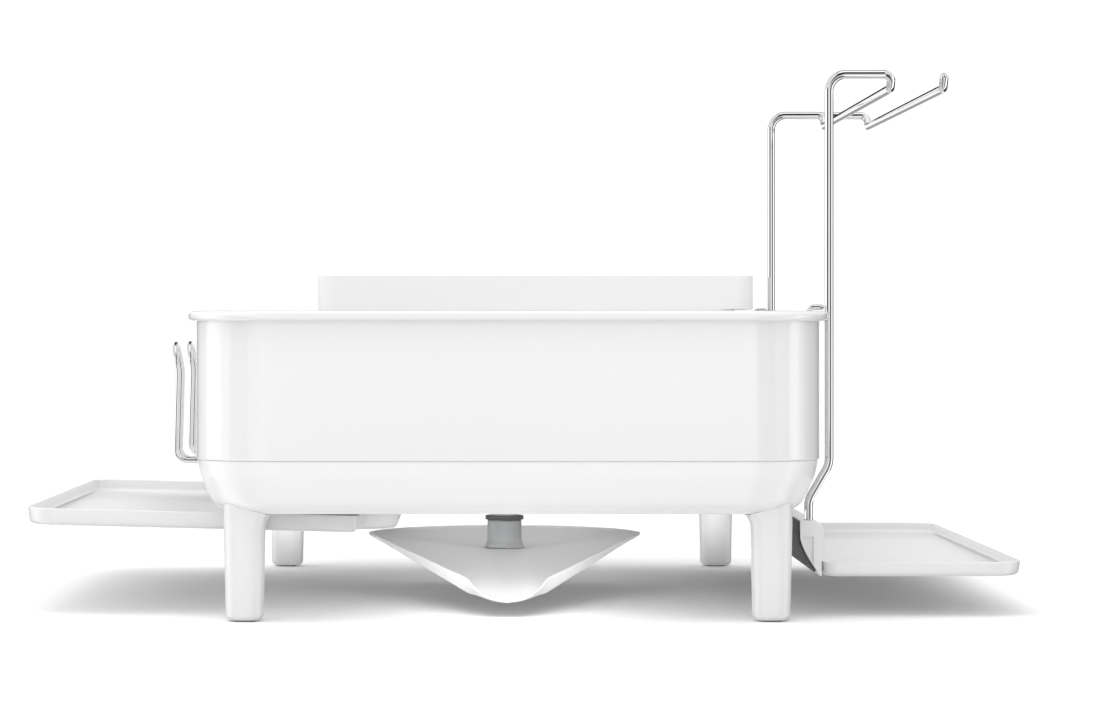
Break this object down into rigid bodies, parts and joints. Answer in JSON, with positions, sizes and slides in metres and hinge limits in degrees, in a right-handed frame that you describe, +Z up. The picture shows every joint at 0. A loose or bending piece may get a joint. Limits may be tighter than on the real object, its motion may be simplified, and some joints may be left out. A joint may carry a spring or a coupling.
{
  "type": "dish drying rack",
  "caption": "Dish drying rack on legs with a steel band, swivelling drain spout, sliding cup tray, hanging glass rack, utensil caddy and wire plate rack.",
  "frame": {"origin": "on the counter, under the middle of the whole rack with its trays out", "axes": "+X towards the wine glass rack, +Y towards the utensil caddy, +Z up; the front faces -Y"},
  "size_m": [0.568, 0.5126, 0.3098],
  "materials": {
    "white_plastic": "glossy moulded white",
    "painted_steel": "smooth satin white paint",
    "matte_plastic": "matte moulded white",
    "chrome_wire": "polished",
    "grey_plastic": "smooth grey",
    "dark_rubber": "matte dark grey",
    "dark_steel": "dark polished"
  },
  "bodies": {
    "base": {"base_tub": "white_plastic", "steel_band": "painted_steel", "leg_front_left": "white_plastic", "leg_rear_left": "white_plastic", "leg_front_right": "white_plastic", "leg_rear_right": "white_plastic", "foot_pad_front_left": "dark_rubber", "foot_pad_rear_left": "dark_rubber", "foot_pad_front_right": "dark_rubber", "foot_pad_rear_right": "dark_rubber", "drain_fitting": "grey_plastic", "drain_nut": "white_plastic", "spout_seal": "dark_rubber", "tray_guide_front": "white_plastic", "tray_guide_rear": "white_plastic", "cup_hook_1": "chrome_wire", "cup_hook_2": "chrome_wire", "cup_hook_3": "chrome_wire", "cup_hook_4": "chrome_wire"},
    "spout": {"spout_dish": "white_plastic", "spout_stem": "grey_plastic"},
    "cup_tray": {"cup_tray": "white_plastic"},
    "glass_rack": {"glass_rack_loop": "chrome_wire", "glass_rack_outer_rail": "chrome_wire", "rim_hook_front": "chrome_wire", "rim_hook_rear": "chrome_wire", "tray_hub": "white_plastic", "hub_cap_front": "white_plastic", "hub_cap_rear": "white_plastic", "hub_back_plate": "dark_steel", "glass_tray": "white_plastic"},
    "caddy": {"utensil_caddy": "matte_plastic"},
    "dish_rack": {"dish_rack_grid": "chrome_wire", "plate_divider_1": "chrome_wire", "plate_divider_2": "chrome_wire", "plate_divider_3": "chrome_wire", "plate_divider_4": "chrome_wire", "plate_divider_5": "chrome_wire", "plate_divider_6": "chrome_wire", "plate_divider_7": "chrome_wire", "plate_divider_8": "chrome_wire", "plate_divider_9": "chrome_wire", "plate_divider_10": "chrome_wire", "plate_divider_11": "chrome_wire", "plate_divider_12": "chrome_wire", "plate_divider_13": "chrome_wire"}
  },
  "joints": [
    {"name": "spout_swivel", "type": "hinge", "parent": "base", "child": "spout", "pos_m": [-0.0086, 0, 0.043], "axis": [0, 0, 1], "continuous": true},
    {"name": "cup_tray_slide", "type": "slide", "parent": "base", "child": "cup_tray", "axis": [0.9997, 0, -0.0244], "range_m": [0, 0.1]},
    {"name": "glass_rack_tilt", "type": "hinge", "parent": "base", "child": "glass_rack", "pos_m": [0.1694, 0, 0.173], "axis": [0, -1, 0], "range_deg": [0, 3]},
    {"name": "caddy_lift", "type": "slide", "parent": "base", "child": "caddy", "axis": [0, 0, 1], "range_m": [0, 0.13]},
    {"name": "dish_rack_lift", "type": "slide", "parent": "base", "child": "dish_rack", "axis": [0, 0, 1], "range_m": [0, 0.12]}
  ]
}
